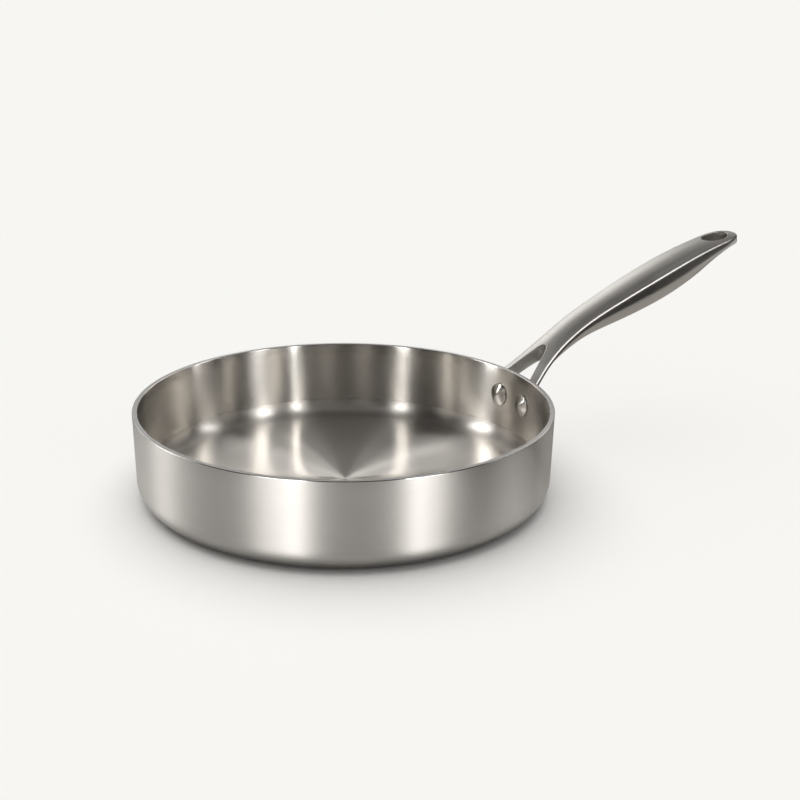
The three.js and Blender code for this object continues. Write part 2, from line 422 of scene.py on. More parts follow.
def drawn_lines_group() -> bpy.types.NodeTree:
    """Group for the fine lines that a belt leaves along a piece's X axis.

    Returns:
        The group, whose Lines output runs from 0 to 1.
    """
    sockets = {"Coordinates": "NodeSocketVector", "Spacing": "NodeSocketFloat", "Stretch": "NodeSocketFloat"}
    sheet, given = new_group("drawn_lines", sockets, "Lines")
    split = sheet.add("SeparateXYZ", {0: given.outputs["Coordinates"]})
    slow = sheet.math("DIVIDE", split.outputs[0], given.outputs["Stretch"])
    place = sheet.add("CombineXYZ", {0: slow, 1: split.outputs[1], 2: split.outputs[2]}).outputs[0]
    spacing = sheet.math("DIVIDE", 1.0, given.outputs["Spacing"])
    place = sheet.add("VectorMath", {0: place, 3: spacing}, operation="SCALE").outputs[0]
    sheet.add("NodeGroupOutput", {"Lines": sheet.line_noise(place)})
    return sheet.tree


def handling_group() -> bpy.types.NodeTree:
    """Group for the soft cloudy patches that wiping leaves on bright metal.

    Returns:
        The group, whose Patches output runs from 0 to 1.
    """
    sockets = {"Coordinates": "NodeSocketVector", "Size": "NodeSocketFloat"}
    sheet, given = new_group("handling_patches", sockets, "Patches")
    scale = sheet.math("DIVIDE", 1.0, given.outputs["Size"])
    inputs = {"Vector": given.outputs["Coordinates"], "Scale": scale, "Detail": 4.0, "Distortion": 0.6}
    cloud = sheet.add("TexNoise", inputs).outputs[0]
    sheet.add("NodeGroupOutput", {"Patches": sheet.step(cloud, 0.3, 0.7)})
    return sheet.tree


class Axis(Enum):
    """Axis that a finish is turned about."""

    X = "X"
    Z = "Z"


@dataclass(frozen=True)
class Zone:
    """A change of finish above a height, with painted shade in the colour below it where its colour share is
    under 1.
    """

    level: float  # middle of the change
    blend: float  # half the height that it takes
    change: float  # added to the roughness above it
    dim_patch_and_painted_shade: float = 1.0  # share of the colour that is left below it, which paints shade there


@dataclass(frozen=True)
class Steel(ABC):
    """Bright metal with fine lines and the soft patches that wiping leaves."""

    name: str
    colour: tuple[float, float, float]
    roughness: float
    spacing: float  # between lines
    relief: float  # strength of the lines in the shading
    grain: float = 0.05  # change of roughness from line to line
    patch_size: float = 45 * MM
    patch_change: float = 0.012  # of roughness
    patch_shades: tuple[float, float] = (0.96, 1.03)  # shares of the colour, between patches and in them

    def make(self) -> bpy.types.Material:
        """Builds the material.

        Returns:
            The new material.
        """
        material, sheet = new_material(self.name)
        whole = sheet.add("TexCoord").outputs["Object"]
        lines = self.lines(sheet, whole)
        patches = sheet.group("handling_patches", {"Coordinates": whole, "Size": self.patch_size})
        rough = sheet.math("ADD", sheet.spread(lines, -self.grain, self.grain), self.roughness)
        cloud = sheet.spread(patches, -self.patch_change, self.patch_change)
        dim_patch_and_painted_shade, bright = [tuple(share * part for part in self.colour) + (1.0,) for share in self.patch_shades]
        shade = sheet.add("Mix", {"Factor": patches, "A": dim_patch_and_painted_shade, "B": bright}, data_type="RGBA")
        relief = sheet.add("Bump", {"Height": lines, "Strength": self.relief, "Distance": LINE_DEPTH})
        surface = {
            "Base Color": shade.outputs["Result"],
            "Metallic": 1.0,
            "Roughness": sheet.math("ADD", rough, cloud),
            "Normal": relief.outputs[0],
        }
        self.work(sheet, whole, surface)
        shader = sheet.add("BsdfPrincipled", surface)
        sheet.add("OutputMaterial", {"Surface": shader.outputs[0]})
        return material

    @abstractmethod
    def lines(self, sheet: Sheet, whole: bpy.types.NodeSocket) -> bpy.types.NodeSocket:
        """Lays the fine lines.

        Args:
            sheet: the material's sheet.
            whole: the piece's own coordinates.

        Returns:
            A mask from 0 to 1.
        """

    def work(self, sheet: Sheet, whole: bpy.types.NodeSocket, surface: dict) -> None:
        """Works the surface further, where one kind of steel needs it.

        Args:
            sheet: the material's sheet.
            whole: the piece's own coordinates.
            surface: the shader's inputs, to change or add to.
        """


@dataclass(frozen=True)
class TurnedSteel(Steel):
    """Steel with a finish of fine rings round an axis."""

    stretch: float = 0.95  # 0 round highlights, 1 highlights drawn out across the rings
    axis: Axis = Axis.Z
    place: Matrix = Matrix.Identity(4)  # from the piece's frame to the turning axis's
    zones: tuple[Zone, ...] = ()

    def lines(self, sheet: Sheet, whole: bpy.types.NodeSocket) -> bpy.types.NodeSocket:
        """Lays rings round the axis.

        Args:
            sheet: the material's sheet.
            whole: the piece's own coordinates.

        Returns:
            A mask from 0 to 1.
        """
        mapping = {0: whole, "Location": self.place.to_translation(), "Rotation": self.place.to_euler()}
        turned = sheet.add("Mapping", mapping).outputs[0]
        return sheet.group("turned_lines", {"Coordinates": turned, "Spacing": self.spacing})

    def work(self, sheet: Sheet, whole: bpy.types.NodeSocket, surface: dict) -> None:
        """Draws the highlights out, changes the finish from zone to zone and paints shade into the colour
        below a zone that darkens it.

        Args:
            sheet: the material's sheet.
            whole: the piece's own coordinates.
            surface: the shader's inputs, to change and add to.
        """
        height = sheet.add("SeparateXYZ", {0: whole}).outputs[2]
        for zone in self.zones:
            step = sheet.step(height, zone.level - zone.blend, zone.level + zone.blend)
            surface["Roughness"] = sheet.math("MULTIPLY_ADD", step, zone.change, surface["Roughness"])
            # painted shade: the colour below the zone's level is darkened by the zone's colour share
            if zone.dim_patch_and_painted_shade < 1:
                painted_shade_inputs = {0: surface["Base Color"], 3: sheet.spread(step, zone.dim_patch_and_painted_shade, 1.0)}
                surface["Base Color"] = sheet.add("VectorMath", painted_shade_inputs, operation="SCALE").outputs[0]
        tangent = sheet.add("Tangent", direction_type="RADIAL", axis=self.axis.value)
        surface["Tangent"] = tangent.outputs[0]
        surface["Anisotropic"] = self.stretch
        surface["Anisotropic Rotation"] = QUARTER_TURN


@dataclass(frozen=True)
class DrawnSteel(Steel):
    """Cast steel, brushed along its length."""

    length: float = 30.0  # of a line, in spacings
    slope: float = 0.0  # of the lines above level

    def lines(self, sheet: Sheet, whole: bpy.types.NodeSocket) -> bpy.types.NodeSocket:
        """Lays lines along the slope.

        Args:
            sheet: the material's sheet.
            whole: the piece's own coordinates.

        Returns:
            A mask from 0 to 1.
        """
        sloped = sheet.add("Mapping", {0: whole, "Rotation": (0.0, self.slope, 0.0)}).outputs[0]
        inputs = {"Coordinates": sloped, "Spacing": self.spacing, "Stretch": self.length}
        return sheet.group("drawn_lines", inputs)


def dress(piece: bpy.types.Object, material: bpy.types.Material, node: str) -> None:
    """Gives a piece its finish and its place in the frame.

    Args:
        piece: the piece.
        material: its finish.
        node: the node of the construction model that it stands for.
    """
    piece.data.materials.clear()
    piece.data.materials.append(material)
    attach(piece, "root")
    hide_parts(node)
    log.info("%s stands for %s", piece.name, node)


# The object


@dataclass
class Bowl:
    """The three bonded layers of the pan."""

    rim_radius: float
    height: float
    draft: float = math.radians(0.7)
    corner_radius: float = 13.5 * MM  # outside bend from base to wall
    shell: float = 0.6 * MM
    core: float = 1.9 * MM
    liner: float = 0.6 * MM
    bond: float = 0.05 * MM  # between two bonded layers
    rim_round: float = 0.5 * MM  # broken edges of the rim
    guard: float = 0.6 * MM  # narrow ring that keeps a flat face flat beside a bend
    sides: int = 240
    base_rings: int = 10
    bend_steps: int = 14
    wall_rings: int = 5

    def __post_init__(self) -> None:
        """Works out the bend's centre and the layers' depths."""
        reach = self.corner_radius + (self.height - self.corner_radius) * math.sin(self.draft)
        self.corner_centre = self.rim_radius - reach / math.cos(self.draft)
        self.core_outside = self.shell + self.bond
        self.liner_outside = self.core_outside + self.core + self.bond
        self.wall = self.liner_outside + self.liner

    def wall_radius(self, height: float, depth: float) -> float:
        """Radius of the wall.

        Args:
            height: above the hob.
            depth: of the surface, inwards from the outer face.

        Returns:
            The radius there.
        """
        reach = self.corner_radius - depth + (height - self.corner_radius) * math.sin(self.draft)
        return self.corner_centre + reach / math.cos(self.draft)

    def face(self, depth: float) -> list[Vector]:
        """Outline of one face of a layer, from the axis along the base and up the wall to the rim.

        Args:
            depth: of the face, inwards from the outer face.

        Returns:
            Points of the outline. A free face, outermost or innermost, ends in a rounded edge.
        """
        edge = self.rim_edge(depth) if depth in (0, self.wall) else []
        top = self.height - self.rim_round if edge else self.height
        rings = [self.corner_centre * ring / self.base_rings for ring in range(self.base_rings)]
        base = [Vector((reach, 0, depth)) for reach in [*rings, self.corner_centre - self.guard]]
        centre = Vector((self.corner_centre, 0, self.corner_radius))
        bend = arc(centre, self.corner_radius - depth, -math.pi / 2, -self.draft, self.bend_steps)
        foot = bend[-1].z + self.guard
        heights = [lerp(foot, top, ring / self.wall_rings) for ring in range(self.wall_rings + 1)]
        wall = [Vector((self.wall_radius(height, depth), 0, height)) for height in heights]
        return [*base, *bend, *wall, *edge]

    def rim_edge(self, depth: float) -> list[Vector]:
        """Rounded edge of the rim, from the wall to the level top.

        Args:
            depth: of the face that it ends, which is the outermost at 0 and else the innermost.

        Returns:
            Points of the edge.
        """
        side, inwards = (0.0, -1) if depth == 0 else (math.pi, 1)
        height = self.height - self.rim_round
        centre = Vector((self.wall_radius(height, depth) + inwards * self.rim_round, 0, height))
        return arc(centre, self.rim_round, side, math.pi / 2, EDGE_STEPS)[1:]

    def layer(self, name: str, outside: float, inside: float) -> bpy.types.Object:
        """Makes one layer, with the rim's free edges rounded.

        Args:
            name: the layer's name.
            outside: depth of its outer face.
            inside: depth of its inner face.

        Returns:
            The layer.
        """
        outline = [*self.face(outside), *reversed(self.face(inside))]
        return turn(name, outline, Vector((0, 0, 0)), Vector((0, 0, 1)), self.sides)

    def build(self) -> None:
        """Makes and dresses the three layers."""
        # painted shade: below about 10 mm the shell's colour drops to 0.36 of itself, standing in for the
        # darker reflection along the bottom bend; the roughness there rises too
        rough_bend_with_painted_shade = Zone(level=10 * MM, blend=7 * MM, change=0.3, dim_patch_and_painted_shade=0.36)
        polished_rim = Zone(level=self.height - self.rim_round, blend=0.2 * MM, change=-0.25)
        polished_wall = Zone(level=self.corner_radius, blend=3 * MM, change=-0.09)
        shell_steel = TurnedSteel(
            "shell_steel", (0.6, 0.575, 0.545), roughness=0.2, spacing=0.35 * MM, relief=0.04,
            zones=(rough_bend_with_painted_shade, polished_rim),
        )
        core_metal = TurnedSteel(
            "core_aluminium", (0.52, 0.51, 0.495), roughness=0.45, spacing=0.3 * MM, relief=0.04,
            stretch=0.3,
        )
        liner_steel = TurnedSteel(
            "liner_steel", (0.62, 0.592, 0.555), roughness=0.32, spacing=0.6 * MM, relief=0.004,
            grain=0.02, stretch=1.0, zones=(polished_wall,),
        )
        shell = self.layer("outer_shell_skin", 0, self.shell)
        dress(shell, shell_steel.make(), "outer_shell")
        core = self.layer("heat_core_body", self.core_outside, self.core_outside + self.core)
        dress(core, core_metal.make(), "heat_core")
        liner = self.layer("cooking_liner_skin", self.liner_outside, self.wall)
        dress(liner, liner_steel.make(), "cooking_liner")


class Side(Enum):
    """Side of the handle, for someone who holds it."""

    LEFT = "left"
    RIGHT = "right"


@dataclass
class Rivets:
    """The two turned rivets through the wall and the handle's saddle."""

    bowl: Bowl
    pitch: float = 27.5 * MM  # between the two rivets
    drop: float = 19 * MM  # below the rim
    head_radius: float = 7.5 * MM
    head_height: float = 2.6 * MM
    head_edge: float = 0.8 * MM
    edge_round: float = 0.45 * MM
    shank_radius: float = 3.2 * MM
    tail_radius: float = 4.75 * MM
    tail_height: float = 1.6 * MM
    clearance: float = 0.15 * MM
    saddle: float = 4.3 * MM  # saddle and its gap, from the wall outwards
    sides: int = 64
    crown_steps: int = 9
    crown_power: float = 1.25  # 1 is a plain cone
    tail_steps: int = 8

    def build(self) -> None:
        """Makes the left rivet, copies it to the right, and dresses both."""
        height = self.bowl.height - self.drop
        inside = self.bowl.wall_radius(height, self.bowl.wall)
        angle = math.asin(self.pitch / 2 / self.bowl.wall_radius(height, 0))
        ahead = Matrix.Translation((inside, 0, height)) @ Matrix.Rotation(self.bowl.draft, 4, "Y")
        left = Matrix.Rotation(angle, 4, "Z") @ ahead
        outline = [left @ point for point in self.outline(inside)]
        axis = left.to_3x3() @ Vector((1, 0, 0))
        piece = turn("rivet_left_turned", outline, left.to_translation(), axis, self.sides)
        bpy.ops.object.duplicate()
        copy = name_piece("rivet_right_turned")
        copy.rotation_euler.z = -2 * angle
        bpy.ops.object.transform_apply(rotation=True)
        self.dress(piece, Side.LEFT, left)
        self.dress(copy, Side.RIGHT, Matrix.Rotation(-angle, 4, "Z") @ ahead)

    def dress(self, piece: bpy.types.Object, side: Side, place: Matrix) -> None:
        """Gives one rivet its finish, turned about its own axis.

        Args:
            piece: the rivet.
            side: which of the two it is.
            place: of the rivet on the pan, its axis along X.
        """
        node = f"rivet_{side.value}"
        turning = Matrix.Rotation(-math.pi / 2, 4, "Y") @ place.inverted()
        finish = TurnedSteel(
            f"{node}_steel", (0.68, 0.655, 0.62), roughness=0.2, spacing=0.25 * MM, relief=0.05,
            axis=Axis.X, place=turning,
        )
        dress(piece, finish.make(), node)

    def outline(self, inside: float) -> list[Vector]:
        """Outline of the rivet, from the middle of its head to the end of its tail.

        Args:
            inside: radius of the wall's inner face.

        Returns:
            Points with X along the rivet, outwards from the wall's inner face, and Z from its axis.
        """
        seat = math.sqrt(inside**2 - self.head_radius**2) - inside - self.clearance
        tail = self.bowl.wall + self.saddle + self.clearance
        points = self.head(seat)
        points += [Vector((reach, 0, self.shank_radius)) for reach in (seat, tail)]
        for step in range(self.tail_steps + 1):
            sweep = math.pi / 2 * (1 - step / self.tail_steps)
            reach = Vector((self.tail_height * math.cos(sweep), 0, self.tail_radius * math.sin(sweep)))
            points.append(Vector((tail, 0, 0)) + reach)
        return points

    def head(self, seat: float) -> list[Vector]:
        """Outline of the head, from the middle of its crown to its seat.

        Args:
            seat: where the head meets the wall, along the rivet from the wall's inner face.

        Returns:
            Points of the outline.
        """
        crown = self.head_radius - self.edge_round
        top = seat - self.head_edge
        rise = self.head_height - self.head_edge
        points = []
        for step in range(self.crown_steps + 1):
            share = step / self.crown_steps
            points.append(Vector((top - rise * (1 - share**self.crown_power), 0, crown * share)))
        centre = Vector((top + self.edge_round, 0, crown))
        points += arc(centre, self.edge_round, math.pi, math.pi / 2, EDGE_STEPS)[1:]
        points.append(Vector((seat, 0, self.head_radius)))
        return points


class Column(IntEnum):
    """Lines of the handle's cage, from the middle of its top down one side to the keel."""

    MIDDLE = 0
    INNER = 1
    SHELF = 2
    SHOULDER = 3
    FLANK = 4
    CREASE = 5
    BELLY = 6
    LOWER = 7
    KEEL = 8


OPENING_EDGES = ((Column.INNER, Column.MIDDLE), (Column.LOWER, Column.KEEL))  # upper and lower


@dataclass(frozen=True)
class Row:
    """One row of the handle's cage."""

    distance: float  # from the wall, level
    inner: float  # from the middle plane to the two inner columns
    lean: float = 0.0  # 0 square to the handle, 1 upright
    shift: float = 0.0  # of the middle columns along the handle
    open: bool = False  # the inner columns are edges of an opening


@dataclass
class Handle:
    """The forked cast handle and the saddle that it ends in."""

    bowl: Bowl
    length: float = 185.5 * MM  # from the wall to the tip, level
    rise: float = 81.4 * MM  # shoulder line at the tip above the rim
    root_drop: float = 5 * MM  # shoulder line at the wall below the rim
    bend_length: float = 59 * MM
    bend_rise: float = 42 * MM
    root_angle: float = math.radians(45)
    grip_angle: float = math.radians(23.6)
    tip_angle: float = math.radians(8.4)
    fork_width: float = 44 * MM
    prong_width: float = 8.3 * MM
    waist_width: float = 25.5 * MM
    waist_distance: float = 36 * MM
    grip_width: float = 31.2 * MM
    grip_distance: float = 116 * MM
    end_width: float = 27.7 * MM
    fork_depth: float = 6.6 * MM  # shoulder to keel
    grip_depth: float = 23 * MM
    end_depth: float = 6.5 * MM
    swell_distance: float = 8 * MM  # where the depth begins to grow
    fork_flank: float = 2.8 * MM  # shoulder to crease
    grip_flank: float = 9.6 * MM
    end_flank: float = 3.2 * MM
    crown_height: float = 2 * MM
    shoulder_radius: float = 2.4 * MM
    crease_inset: float = 0.6 * MM
    fork_keel_power: float = 5.0
    grip_keel_power: float = 2.0
    window_length: float = 22.3 * MM
    window_apex_radius: float = 4.8 * MM
    hole_length: float = 19 * MM
    hole_width: float = 16.4 * MM
    hole_setback: float = 2.7 * MM
    edge_round: float = 0.7 * MM  # edges of the window and of the hang hole
    saddle_margin: float = 3 * MM  # beyond the prongs
    saddle_foot: float = 26 * MM  # height of its lower edge
    saddle_thickness: float = 4 * MM
    saddle_corner: float = 8 * MM
    saddle_round: float = 0.9 * MM
    gap: float = 0.3 * MM  # to the wall
    curve_reach: float = 0.3  # corners of the shoulder line, as a share of its span
    shelf_inset: float = 2.2  # of the cage's shelf from the side, in shoulder radii
    fork_stations: tuple[float, ...] = (0.0, 4.5 * MM, 9.5 * MM, 14.5 * MM)  # cage rows of the prongs
    apex_setback: float = 1.3 * MM  # cage row of the window's apex, before its end
    apex_inner: float = 0.81  # its inner columns, as a share of the apex's radius
    apex_shift: float = 1.9 * MM  # of its middle columns
    waist_station: float = 29 * MM
    waist_inner: float = 0.4  # inner columns there, as a share of the half width
    waist_lean: float = 0.6
    grip_stations: tuple[float, ...] = tuple(
        distance * MM for distance in (38, 48, 60, 74, 89, 104, 119, 134, 148)
    )
    grip_inner: float = 0.42
    smooth_levels: int = 3
    edge_segments: int = 2
    saddle_strips: int = 24  # that let it bend round the wall

    def __post_init__(self) -> None:
        """Works out the shoulder line and the places that the cage is built on."""
        self.end_radius = self.end_width / 2
        self.end_centre = self.length - self.end_radius
        root = Vector((0, 0, self.bowl.height - self.root_drop))
        bend = root + Vector((self.bend_length, 0, self.bend_rise))
        tip = Vector((self.length, 0, self.bowl.height + self.rise))
        self.root = root
        self.curves = (
            self.curve(root, self.root_angle, bend, self.grip_angle),
            self.curve(bend, self.grip_angle, tip, self.tip_angle),
        )
        self.wall = self.bowl.wall_radius(root.z, 0)

    def curve(self, start: Vector, start_angle: float, end: Vector, end_angle: float) -> list[Vector]:
        """Corners of a curve that leaves one place and reaches another at given slopes.

        Args:
            start: where it starts.
            start_angle: its slope there.
            end: where it ends.
            end_angle: its slope there.

        Returns:
            The four corners of a Bezier curve.
        """
        reach = (end - start).length * self.curve_reach
        leave = reach * Vector((math.cos(start_angle), 0, math.sin(start_angle)))
        arrive = reach * Vector((math.cos(end_angle), 0, math.sin(end_angle)))
        return [start, start + leave, end - arrive, end]

    def shoulder(self, distance: float) -> tuple[Vector, float]:
        """Point and slope of the shoulder line.

        Args:
            distance: from the wall, level.

        Returns:
            The point, with X from the wall, and the slope.
        """
        if distance <= 0:
            return self.root + distance * Vector((1, 0, math.tan(self.root_angle))), self.root_angle
        corners = self.curves[0] if distance < self.bend_length else self.curves[1]
        low, high = 0.0, 1.0
        for _ in range(HALVINGS):
            middle = (low + high) / 2
            if bezier(corners, middle).x < distance:
                low = middle
            else:
                high = middle
        ahead = bezier(corners, low + SLOPE_STEP) - bezier(corners, low - SLOPE_STEP)
        return bezier(corners, low), math.atan2(ahead.z, ahead.x)

    def half_width(self, distance: float) -> float:
        """Half the handle's width at a distance from the wall."""
        if distance > self.end_centre:
            return math.sqrt(max(self.end_radius**2 - (distance - self.end_centre) ** 2, 0.0))
        if distance > self.grip_distance:
            share = smoothstep(distance, self.grip_distance, self.end_centre)
            return lerp(self.grip_width, self.end_width, share) / 2
        if distance > self.waist_distance:
            share = smoothstep(distance, self.waist_distance, self.grip_distance)
            return lerp(self.waist_width, self.grip_width, share) / 2
        return lerp(self.waist_width, self.fork_width, (1 - distance / self.waist_distance) ** 2) / 2

    def swell(self, distance: float, fork: float, grip: float, end: float) -> float:
        """A size that grows from the fork to the grip and falls away to the tip.

        Args:
            distance: from the wall.
            fork: the size at the fork.
            grip: the size at the thickest part of the grip.
            end: the size at the tip.

        Returns:
            The size at that distance.
        """
        if distance < self.grip_distance:
            return lerp(fork, grip, smoothstep(distance, self.swell_distance, self.grip_distance))
        past = min((distance - self.grip_distance) / (self.length - self.grip_distance), 1.0)
        return lerp(end, grip, math.cos(math.pi / 2 * past))

    def half_section(self, distance: float, inner: float) -> list[Vector]:
        """Points of one side of a section, a point for each column.

        Args:
            distance: from the wall.
            inner: from the middle plane to the inner columns.

        Returns:
            Points with Y across and Z above the shoulder line.
        """
        width = self.half_width(distance)
        narrow = min(1.0, width / self.end_radius)
        edge = self.shoulder_radius * narrow
        crown = self.crown_height * width / (self.grip_width / 2)
        flank = self.swell(distance, self.fork_flank, self.grip_flank, self.end_flank)
        keel = self.swell(distance, self.fork_depth, self.grip_depth, self.end_depth) - flank
        power = self.swell(distance, self.fork_keel_power, self.grip_keel_power, self.grip_keel_power)
        crease = width - self.crease_inset * narrow
        shelf = max(width - self.shelf_inset * edge, (inner + width) / 2)

        def top(across: float) -> Vector:
            """Point of the crowned top."""
            return Vector((0, across, crown * (1 - (across / (width - edge)) ** 2)))

        def belly(across: float) -> Vector:
            """Point of the keeled underside."""
            return Vector((0, across, -flank - keel * (1 - (across / crease) ** power)))

        corner = edge * (1 - math.sqrt(0.5))
        return [
            top(0),
            top(inner),
            top(shelf),
            Vector((0, width - corner, -corner)),
            Vector((0, width, -max(flank / 2, edge))),
            Vector((0, crease, -flank)),
            belly((crease + inner) / 2),
            belly(inner),
            belly(0),
        ]

    def ring(self, row: Row) -> list[Vector]:
        """Corners of one row of the cage, in their places on the pan.

        Args:
            row: the row.

        Returns:
            The corners, from the middle of the top round the left side to the right side.
        """
        half = self.half_section(row.distance, row.inner)
        if row.open:
            half[Column.INNER : Column.KEEL] = through(half[Column.INNER : Column.KEEL], False)
            corners = half
        else:
            corners = through(mirrored_ring(half), True)[: Column.KEEL + 1]
        _, slope = self.shoulder(row.distance)
        places = []
        for column, spot in enumerate(corners):
            distance = row.distance + row.lean * spot.z * math.sin(slope)
            if column in (Column.MIDDLE, Column.KEEL):
                distance += row.shift
            places.append(self.on_pan(distance, spot))
        return mirrored_ring(places)

    def on_pan(self, distance: float, spot: Vector) -> Vector:
        """Place on the pan of a point of a section.

        Args:
            distance: of the section from the wall.
            spot: the point, with Y across and Z above the shoulder line.

        Returns:
            The place.
        """
        point, slope = self.shoulder(distance)
        across = Vector((self.wall - spot.z * math.sin(slope), spot.y, spot.z * math.cos(slope)))
        return point + across

    def window_half(self, distance: float) -> float:
        """Half the width of the fork's window at a distance from the wall."""
        half = self.fork_width / 2 - self.prong_width
        span = self.window_length - self.window_apex_radius
        slope = math.asin(self.window_apex_radius / math.hypot(span, half)) - math.atan2(half, span)
        return half + math.tan(slope) * distance

    def fork_rows(self) -> list[Row]:
        """Rows of the two prongs, up to the apex of their window."""
        rows = [
            Row(distance, self.window_half(distance), lean=1.0, open=True) for distance in self.fork_stations
        ]
        end = self.window_length - self.apex_setback
        inner = self.apex_inner * self.window_apex_radius
        return [*rows, Row(end, inner, lean=1.0, shift=self.apex_shift, open=True)]

    def grip_rows(self) -> list[Row]:
        """Rows from the window's apex to the hang hole."""
        inner = self.waist_inner * self.half_width(self.waist_station)
        waist = Row(self.waist_station, inner, self.waist_lean)
        grip = [
            Row(distance, self.grip_inner * self.half_width(distance)) for distance in self.grip_stations
        ]
        return [waist, *grip]

    def hole_rows(self) -> list[Row]:
        """Rows round the hang hole, whose eight corners smooth to an ellipse."""
        centre = self.end_centre - self.hole_setback
        swell = 6 / (4 + math.sqrt(2))  # corners of an eight-sided ring outside its smooth curve
        along = swell * self.hole_length / 2
        across = swell * self.hole_width / 2
        corner = math.sqrt(0.5)
        middle = (1 - corner) * along
        return [
            Row(centre - corner * along, corner * across, lean=1.0, shift=-middle, open=True),
            Row(centre, across, lean=1.0, open=True),
            Row(centre + corner * along, corner * across, lean=1.0, shift=middle, open=True),
        ]

    def nose(self) -> list[Vector]:
        """Last ring of the cage, bent round the tip."""
        sweeps = [0, 15, 30, 45, 45, 45, 30, 15, 0]
        depth = self.end_depth
        heights = [0.2 * MM, 0.1 * MM, 0, -0.2 * MM, -depth / 2, -depth, -depth, -depth, -depth]
        places = []
        for sweep, height in zip(sweeps, heights):
            angle = math.radians(sweep)
            reach = self.end_radius * Vector((math.cos(angle), math.sin(angle)))
            places.append(self.on_pan(self.end_centre + reach.x, Vector((0, reach.y, height))))
        return mirrored_ring(places)

    def build(self) -> None:
        """Makes the casting, joins the saddle to it and dresses it."""
        piece = self.build_casting()
        saddle = self.build_saddle()
        bpy.ops.object.select_all(action="DESELECT")
        piece.select_set(True)
        bpy.context.view_layer.objects.active = piece
        union = piece.modifiers.new("union", "BOOLEAN")
        union.operation = "UNION"
        union.object = saddle
        bpy.ops.object.modifier_apply(modifier=union.name)
        bpy.data.objects.remove(saddle)
        bpy.ops.object.shade_smooth_by_angle(angle=SMOOTH_ANGLE)
        finish = DrawnSteel(
            "handle_steel", (0.53, 0.51, 0.482), roughness=0.38, spacing=0.5 * MM, relief=0.004,
            grain=0.04, patch_size=30 * MM, patch_change=0.02, slope=self.grip_angle,
        )
        dress(piece, finish.make(), "handle")

    def build_casting(self) -> bpy.types.Object:
        """Makes the handle without its saddle: a cage, ring after ring, that is then smoothed.

        Returns:
            The casting.
        """
        fork = [self.ring(row) for row in self.fork_rows()]
        grip = [self.ring(row) for row in self.grip_rows()]
        hole = [self.ring(row) for row in self.hole_rows()]
        fork[0] = [self.to_wall(place) for place in fork[0]]
        rings = [*fork, *grip, *hole, self.nose()]
        bpy.ops.object.select_all(action="DESELECT")
        bpy.ops.mesh.primitive_circle_add(vertices=len(rings[0]), radius=MM)
        piece = name_piece("handle_casting")
        bpy.ops.object.mode_set(mode="EDIT")
        sheet = bmesh.from_edit_mesh(piece.data)
        for vertex, place in zip(sheet.verts, rings[0]):
            vertex.co = place
        bmesh.update_edit_mesh(piece.data)
        for before, after in zip(rings, rings[1:]):
            extrude_to(before, after)
        self.close_nose(rings[-1])
        self.open_window(fork)
        self.open_hole(hole)
        bpy.ops.mesh.select_all(action="SELECT")
        bpy.ops.mesh.normals_make_consistent(inside=False)
        bpy.ops.object.mode_set(mode="OBJECT")
        smooth = piece.modifiers.new("smooth", "SUBSURF")
        smooth.levels = self.smooth_levels
        smooth.render_levels = self.smooth_levels
        bpy.ops.object.modifier_apply(modifier=smooth.name)
        return piece

    def to_wall(self, place: Vector, stand_off: float = 0.0) -> Vector:
        """Slides a place level along the handle until it stands off the wall's face as the saddle does.

        Args:
            place: the place.
            stand_off: from the saddle's inner face.

        Returns:
            The new place.
        """
        reach = self.bowl.wall_radius(place.z, 0) + self.gap + stand_off
        return Vector((math.sqrt(reach**2 - place.y**2), place.y, place.z))

    def build_saddle(self) -> bpy.types.Object:
        """Makes the rounded plate that lies against the wall.

        Returns:
            The saddle.
        """
        top = self.bowl.height - self.root_drop
        width = self.fork_width + 2 * self.saddle_margin
        height = top - self.saddle_foot
        bpy.ops.object.select_all(action="DESELECT")
        bpy.ops.mesh.primitive_plane_add(
            size=1, location=(0, 0, self.saddle_foot + height / 2), rotation=(0, math.pi / 2, 0)
        )
        bpy.context.object.scale = (height, width, 1)
        saddle = name_piece("handle_saddle")
        bpy.ops.object.mode_set(mode="EDIT")
        bpy.ops.mesh.select_mode(type="VERT")
        bpy.ops.mesh.bevel(offset=self.saddle_corner, segments=8, affect="VERTICES")
        for strip in range(1, self.saddle_strips):
            across = width * (strip / self.saddle_strips - 0.5)
            bpy.ops.mesh.select_all(action="SELECT")
            bpy.ops.mesh.bisect(plane_co=(0, across, 0), plane_no=(0, 1, 0))
        bpy.ops.mesh.select_all(action="SELECT")
        bpy.ops.mesh.extrude_region_move(TRANSFORM_OT_translate={"value": (self.saddle_thickness, 0, 0)})
        bpy.ops.mesh.select_all(action="SELECT")
        bpy.ops.mesh.normals_make_consistent(inside=False)
        bpy.ops.mesh.select_mode(type="EDGE")
        bpy.ops.mesh.select_all(action="DESELECT")
        bpy.ops.mesh.edges_select_sharp(sharpness=SHARP_ANGLE)
        bpy.ops.mesh.bevel(offset=self.saddle_round, segments=3, affect="EDGES")
        sheet = bmesh.from_edit_mesh(saddle.data)
        for vertex in sheet.verts:
            vertex.co = self.to_wall(vertex.co, vertex.co.x)
        bmesh.update_edit_mesh(saddle.data)
        bpy.ops.object.mode_set(mode="OBJECT")
        return saddle

